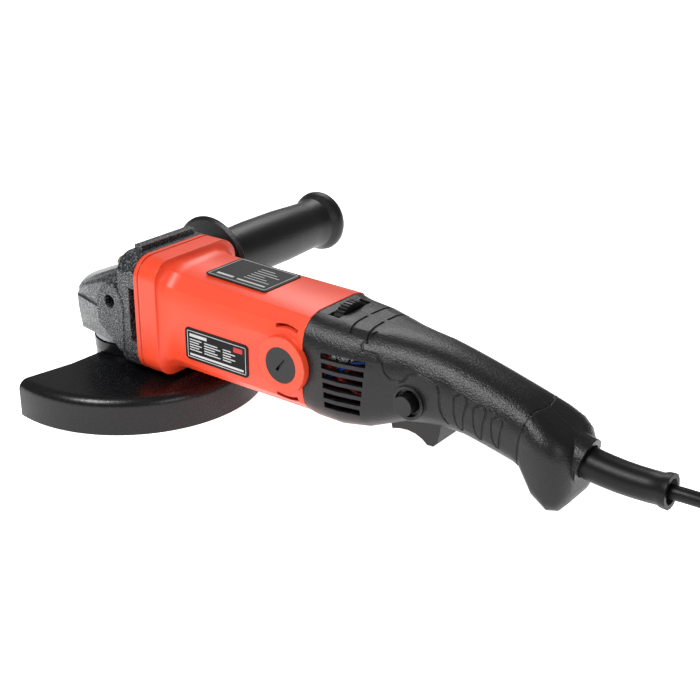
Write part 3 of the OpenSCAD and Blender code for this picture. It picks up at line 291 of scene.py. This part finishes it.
# rubber of the cord and its sleeve: matt, faintly dusty
rubber = surface("black_rubber", "070708", "1c1c1e", 0.4, grain_mm=0.8, relief=0.12, drift=0.1, shine=0.22)
grey_abs = surface("grey_abs", "4a4b4e", "7c7d80", 0.42, grain_mm=0.8, relief=0.1)
zinc = surface("zinc_plated_steel", "b9b8b0", "e3e3df", 0.3, metallic=1.0, grain_mm=0.5, relief=0.08)
ground = surface("ground_steel", "aeb0b3", "dcdee0", 0.24, metallic=1.0, grain_mm=0.25, relief=0.15,
                 stretch=(1, 1, 6))
gear_steel = surface("case_hardened_steel", "5d5f63", "a9abae", 0.34, metallic=1.0, grain_mm=0.4)
cast_alloy = surface("die_cast_alloy", "8d8f92", "c4c6c8", 0.5, metallic=1.0, grain_mm=0.9, relief=0.3)
bearing = surface("bearing_steel", "a5a8ac", "e6e8ea", 0.18, metallic=1.0, grain_mm=0.3, relief=0.05)
bronze = surface("sintered_bronze", "9a6b36", "d3a468", 0.42, metallic=1.0, grain_mm=0.3, relief=0.25)
spring_wire = surface("drawn_spring_wire", "96989b", "d5d7d9", 0.28, metallic=1.0, grain_mm=0.2)
laminated = surface("laminated_steel", "5a5c60", "8f9195", 0.45, metallic=0.9, grain_mm=0.5,
                    relief=0.6, stretch=(8, 0.2, 0.2))
copper_wire = surface("varnished_copper_wire", "8a3c16", "c8743c", 0.3, metallic=0.8, grain_mm=0.8,
                      relief=0.8, stretch=(0.3, 2, 2), coat=0.4)
copper = surface("turned_copper", "b8693c", "e3a077", 0.25, metallic=1.0, grain_mm=0.3, relief=0.1)
brass = surface("folded_brass", "b48a3c", "e0c27a", 0.3, metallic=1.0, grain_mm=0.5, relief=0.1)
carbon = surface("pressed_carbon", "222224", "3f3f42", 0.6, grain_mm=0.4, relief=0.3)
fan_nylon = surface("off_white_nylon", "cfc9ba", "e9e5da", 0.45, grain_mm=0.8, relief=0.1)
board = surface("glass_epoxy_board", "14502a", "2f7d4a", 0.35, grain_mm=0.6, relief=0.3)
filter_film = surface("potted_film_capacitor", "c9a23a", "e3c770", 0.35, grain_mm=1.0, relief=0.08)
red_pvc = surface("red_pvc_insulation", "b3120d", "e05a50", 0.38, grain_mm=0.8, relief=0.08)
blue_pvc = surface("blue_pvc_insulation", "123f9c", "4d77c9", 0.38, grain_mm=0.8, relief=0.08)
nickel = surface("nickel_plated_brass", "c3bfb2", "ecebe5", 0.2, metallic=1.0, grain_mm=0.4, relief=0.05)
label_film = surface("printed_polyester_film", "08080a", "1c1c1e", 0.42, grain_mm=2.0, relief=0.02,
                     edge_mm=0.15, wear=0.2, shine=0.15)
white_ink = surface("white_screen_ink", "b4b5b6", "d4d4d4", 0.45, grain_mm=0.4, relief=0.05, edge_mm=0.05)
red_ink = surface("red_screen_ink", "b51410", "d8443c", 0.45, grain_mm=0.4, relief=0.05, edge_mm=0.05)

FINISH = {
    "hammered_black": gear_paint, "zinc_steel": zinc, "cast_alloy": cast_alloy,
    "bearing_steel": bearing, "bronze": bronze, "ground_steel": ground, "gear_steel": gear_steel,
    "black_plastic": smooth_nylon, "spring_steel": spring_wire, "black_sheet": powder_coat,
    "lamination": laminated, "copper_wire": copper_wire, "copper_bar": copper,
    "fan_plastic": fan_nylon, "red_plastic": red_nylon, "label_film": label_film,
    "brass_sheet": brass, "carbon": carbon, "textured_black": black_nylon, "board": board,
    "grey_plastic": grey_abs, "filter_plastic": filter_film, "red_wire": red_pvc,
    "blue_wire": blue_pvc, "cord_rubber": rubber, "nickel": nickel}
mains_cord.data.materials.append(rubber)

# %% Finish of every carried-over CAD node
slot_of = {part["node"]: part["material_slot"] for part in frame["record"]["subparts"]}
for name, node in nodes.items():
    if not node.material_slots:
        node.data.materials.append(None)
    for material_slot in node.material_slots:
        material_slot.material = FINISH[slot_of[name]]

# %% [markdown]
# ## Smooth copies of the visible shells
# The CAD shells are made of flat strips. A copy of each is welded, cleaned and
# shaded smooth below a chosen angle, so that real edges stay crisp, and it can
# then be cut with the fine lines that the mould leaves.


# %% Helpers for pieces
def deselect():
    if bpy.context.object and bpy.context.object.mode != "OBJECT":
        bpy.ops.object.mode_set(mode="OBJECT")
    bpy.ops.object.select_all(action="DESELECT")


def activate(piece):
    deselect()
    piece.select_set(True)
    bpy.context.view_layer.objects.active = piece


def settle(piece):
    """Puts the piece's place and size into its mesh."""
    activate(piece)
    bpy.ops.object.transform_apply(location=True, rotation=True, scale=True)
    return piece


def smooth_copy(name, node_name, angle=32):
    piece = bpy.data.objects.new(name, nodes[node_name].data.copy())
    bpy.context.collection.objects.link(piece)
    activate(piece)
    bpy.ops.object.mode_set(mode="EDIT")
    bpy.ops.mesh.select_all(action="SELECT")
    bpy.ops.mesh.customdata_custom_splitnormals_clear()
    bpy.ops.mesh.remove_doubles(threshold=0.00001)
    bpy.ops.object.mode_set(mode="OBJECT")
    piece["angle"] = angle
    return piece


def dress(piece, node_name, body="tool_body"):
    """Last step for a copy: smooth shading, its place in the table, its finish."""
    activate(piece)
    bpy.ops.object.shade_smooth_by_angle(angle=math.radians(piece["angle"]))
    del piece["angle"]
    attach(piece, body)
    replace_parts(piece, node_name)
    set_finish(piece, slot_of[node_name])
    return piece


def cut(piece, cutter):
    activate(piece)
    modifier = piece.modifiers.new("cut", "BOOLEAN")
    modifier.operation = "DIFFERENCE"
    modifier.solver = "EXACT"
    modifier.object = cutter
    bpy.ops.object.modifier_apply(modifier=modifier.name)
    bpy.data.objects.remove(cutter, do_unlink=True)


def tube(name, places, radius, closed=False):
    """A round bar along places in millimetres, as a mesh."""
    curve = bpy.data.curves.new(name, "CURVE")
    curve.dimensions = "3D"
    curve.bevel_depth = radius * MM
    curve.bevel_resolution = 2
    curve.use_fill_caps = True
    line = curve.splines.new("POLY")
    line.points.add(len(places) - 1)
    line.use_cyclic_u = closed
    for point, place in zip(line.points, places):
        point.co = (*(Vector(place) * MM), 1)
    piece = bpy.data.objects.new(name, curve)
    bpy.context.collection.objects.link(piece)
    activate(piece)
    bpy.ops.object.convert(target="MESH")
    return bpy.context.object


def on_skin(piece, places, side):
    """Drops points onto the skin: side -1 or 1 gives x, z and looks along Y; 0 gives x, y from above."""
    found = []
    for a, b in places:
        if side:
            hit, where, _, _ = piece.ray_cast(Vector((a, side * 100, b)) * MM, Vector((0, -side, 0)))
        else:
            hit, where, _, _ = piece.ray_cast(Vector((a, b, 150)) * MM, Vector((0, 0, -1)))
        if hit:
            found.append(where / MM)
    return found


def dense(points, step=1.5):
    """The same line with a point at least every step."""
    out = []
    for (x0, y0), (x1, y1) in zip(points, points[1:]):
        n = max(1, int(math.hypot(x1 - x0, y1 - y0) / step))
        out += [(x0 + (x1 - x0) * k / n, y0 + (y1 - y0) * k / n) for k in range(n)]
    return out + [points[-1]]


def rounded(points, passes=2):
    """Corner cutting: a smooth line through a rough one, with its ends kept."""
    for _ in range(passes):
        out = [points[0]]
        for (x0, y0), (x1, y1) in zip(points, points[1:]):
            out += [(x0 * 0.75 + x1 * 0.25, y0 * 0.75 + y1 * 0.25),
                    (x0 * 0.25 + x1 * 0.75, y0 * 0.25 + y1 * 0.75)]
        points = out + [points[-1]]
    return points


# %% [markdown]
# ## Gear case and motor housing
# The gear case is a casting: only its sharp corners are kept. The motor housing is
# a moulding, with curved slits round the brush boss.

# %% Gear case, guard and motor housing
gear_head = dress(smooth_copy("gear_head", "gear_case", 30), "gear_case")
guard_sheet = dress(smooth_copy("guard_sheet", "guard", 30), "guard", "guard_group")
housing = smooth_copy("motor_shell", "motor_housing", 24)
BRUSH_X, BRUSH_Z = 148, 46.5
for side in (-1, 1):
    for low, high in ((68, 110), (250, 292)):
        arc = [(BRUSH_X + 20.8 * math.cos(math.radians(a)), BRUSH_Z + 20.8 * math.sin(math.radians(a)))
               for a in range(low, high + 1, 7)]
        arc = on_skin(housing, arc, side)
        for depth in (0, 1.3, 2.6, 3.9):
            cut(housing, tube("slit", [p - Vector((0, side * depth, 0)) for p in arc], 1.25))
dress(housing, "motor_housing")
print("housing faces", len(housing.data.polygons))

# %% [markdown]
# ## Handle halves
# The two mouldings carry a grip panel set off by a thin groove that winds from the
# top, round the button and down to the trigger, and three short drops behind it.

# %% Handle halves
GROOVE = rounded([(199, 76), (195.5, 71), (191.8, 64.8), (204.6, 62.2), (208.4, 52.6), (217.2, 50.8),
                  (222, 59.2), (236.6, 55.8), (238.6, 52), (238.8, 45.5), (240.6, 40), (244.6, 35.5)], 1)
DROP = rounded([(-2.6, 0), (0.4, 1.6), (4.2, 0.6), (4.9, -1.6), (3.2, -9), (3.2, -15), (2.4, -18.6),
                (-0.6, -15), (-2.4, -8), (-2.6, 0)], 1)
DROP_TOPS = ((249.8, 52.2, 1), (261, 49.4, 0.94), (271.2, 46.4, 0.84))
for name, node_name, side in (("handle_shell_near", "handle_near", -1), ("handle_shell_far", "handle_far", 1)):
    half = smooth_copy(name, node_name, 34)
    cut(half, tube("groove", on_skin(half, dense(GROOVE, 1), side), 0.7))
    for x, high, share in DROP_TOPS:
        drop = dense([(x + u * share, high + v * share) for u, v in DROP], 1.2)
        cut(half, tube("drop", on_skin(half, drop, side)[:-1], 0.65, closed=True))
    ring = on_skin(half, dense([(284.6, 17), (284.2, 27), (284.2, 36), (285, 43), (286, 46.5)]), side)
    over = on_skin(half, dense([(287.2, side * 12), (288.6, side * 7), (289.4, side * 1.2)]), 0)
    cut(half, tube("ring", ring + [p for p in over if p[2] > ring[-1][2]], 0.6))
    for x in (181.5, 192):
        arch = dense([(x, side * 1.5), (x + 0.3, side * 9), (x + 1.2, side * 16), (x + 3, side * 21)])
        cut(half, tube("arch", on_skin(half, arch, 0), 0.7))
    dress(half, node_name)

# %% Other copies that only need smoothing
for name, node_name, angle, body in (
        ("cable_sleeve", "cord_sleeve", 40, "tool_body"),
        ("side_grip", "grip", 26, "side_handle_group"),
        ("plug_shell", "plug_body", 30, "tool_body"),
        ("finger_trigger", "trigger", 30, "trigger_group")):
    dress(smooth_copy(name, node_name, angle), node_name, body)
for piece in [o for o in bpy.data.objects if o.get("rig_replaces") and o.type == "MESH"]:
    finish = FINISH[piece["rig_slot"]]
    piece.data.materials.clear()
    piece.data.materials.append(finish)

# %% [markdown]
# ## Print on the labels
# Real rating plates carry small type. Here plain bars stand for the lines of
# print: a thin frame, a heading bar, rows of short bars and one red mark.


# %% Label print
def bar(name, low, high, finish, body="tool_body"):
    """A thin bar of ink between two corners in millimetres."""
    deselect()
    size = [(b - a) for a, b in zip(low, high)]
    middle = [(a + b) / 2 for a, b in zip(low, high)]
    bpy.ops.mesh.primitive_cube_add(size=1, location=[v * MM for v in middle])
    piece = bpy.context.object
    piece.name = name
    piece.scale = [v * MM for v in size]
    settle(piece)
    piece.data.materials.append(finish)
    return piece


def join(name, parts):
    deselect()
    for part in parts:
        part.select_set(True)
    bpy.context.view_layer.objects.active = parts[0]
    bpy.ops.object.join()
    parts[0].name = name
    return settle(parts[0])


FACE_Y = -31.0
INK = 0.12


def side_print(low, high, finish):
    return bar("ink", (low[0], FACE_Y - INK, low[1]), (high[0], FACE_Y, high[1]), finish)


lx0, lx1, lz0, lz1 = 77.2, 120.8, 31.9, 48.1
whites = [side_print((lx0, lz0), (lx1, lz0 + 0.35), white_ink), side_print((lx0, lz1 - 0.35), (lx1, lz1), white_ink),
          side_print((lx0, lz0), (lx0 + 0.35, lz1), white_ink), side_print((lx1 - 0.35, lz0), (lx1, lz1), white_ink),
          side_print((79, 44.6), (92, 46.4), white_ink), side_print((79, 33.2), (119, 34.4), white_ink)]
for row in range(5):
    z = 36.4 + row * 1.55
    for start, length in ((79, 9 - row % 2 * 2), (90, 12 - row % 3 * 2), (104, 6 + row % 2 * 3)):
        whites.append(side_print((start, z), (start + length, z + 0.6), white_ink))
side_ink = join("side_label_print", whites)
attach(side_ink, "tool_body")
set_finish(side_ink, "label_film")
red_mark = side_print((112, 43.6), (118.5, 46.4), red_ink)
red_mark.name = "side_label_mark"
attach(red_mark, "tool_body")
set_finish(red_mark, "label_film")

TOP_SLOPE = math.atan(2.3 / 94)


def top_print(low, high, finish):
    """Ink on the top plate, which leans down towards the handle with the barrel."""
    piece = bar("ink", (low[0] - 66, low[1], 0.5), (high[0] - 66, high[1], 0.5 + INK), finish)
    piece.data.transform(Matrix.Rotation(TOP_SLOPE, 4, "Y"))
    piece.data.transform(Matrix.Translation(Vector((66, 0, 77.7)) * MM))
    return piece


tx0, tx1, ty = 79.5, 121.0, 14.6
whites = [top_print((tx0, -ty), (tx1, -ty + 0.35), white_ink), top_print((tx0, ty - 0.35), (tx1, ty), white_ink),
          top_print((tx0, -ty), (tx0 + 0.35, ty), white_ink), top_print((tx1 - 0.35, -ty), (tx1, ty), white_ink),
          top_print((83, -11.5), (95, -9.6), white_ink), top_print((98, -11.5), (118, -10.2), white_ink)]
for row in range(6):
    y = -6.6 + row * 3
    whites.append(top_print((99, y), (99 + 18 - row % 3 * 4, y + 0.5), white_ink))
top_ink = join("top_label_print", whites)
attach(top_ink, "tool_body")
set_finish(top_ink, "label_film")

# %% [markdown]
# ## Studio
# A pale bench and large soft lights: one high over the near side for the broad
# shine on the shells, a weaker one behind for the rims.

# %% Floor and lights
deselect()
bpy.ops.mesh.primitive_plane_add(size=5, location=(0, 0, FLOOR_Z - 0.0002))
floor = bpy.context.object
floor.name = "floor"
paper, tree, shader, place = start_material("white_paper")
shader.inputs["Base Color"].default_value = linear("fafafa")
shader.inputs["Roughness"].default_value = 0.9
shader.inputs["Emission Color"].default_value = (1, 1, 1, 1)
shader.inputs["Emission Strength"].default_value = 0.9
floor.data.materials.append(paper)

world = bpy.data.worlds.new("studio")
world.use_nodes = True
world.node_tree.nodes["Background"].inputs["Color"].default_value = (1, 1, 1, 1)
world.node_tree.nodes["Background"].inputs["Strength"].default_value = 0.25
bpy.context.scene.world = world
bpy.context.scene.view_settings.view_transform = "Standard"


def area_light(name, place, target, size, power):
    data = bpy.data.lights.new(name, "AREA")
    data.size = size
    data.energy = power
    lamp = bpy.data.objects.new(name, data)
    lamp.location = place
    lamp.rotation_euler = (Vector(target) - Vector(place)).to_track_quat("-Z", "Y").to_euler()
    bpy.context.collection.objects.link(lamp)


MIDDLE = (0.15, 0, 0.05)
area_light("key", (0.0, -0.75, 0.95), MIDDLE, 0.45, 13)
area_light("rear", (-0.4, 0.8, 0.9), MIDDLE, 0.5, 5)
area_light("end", (1.1, -0.3, 0.5), MIDDLE, 0.4, 2)
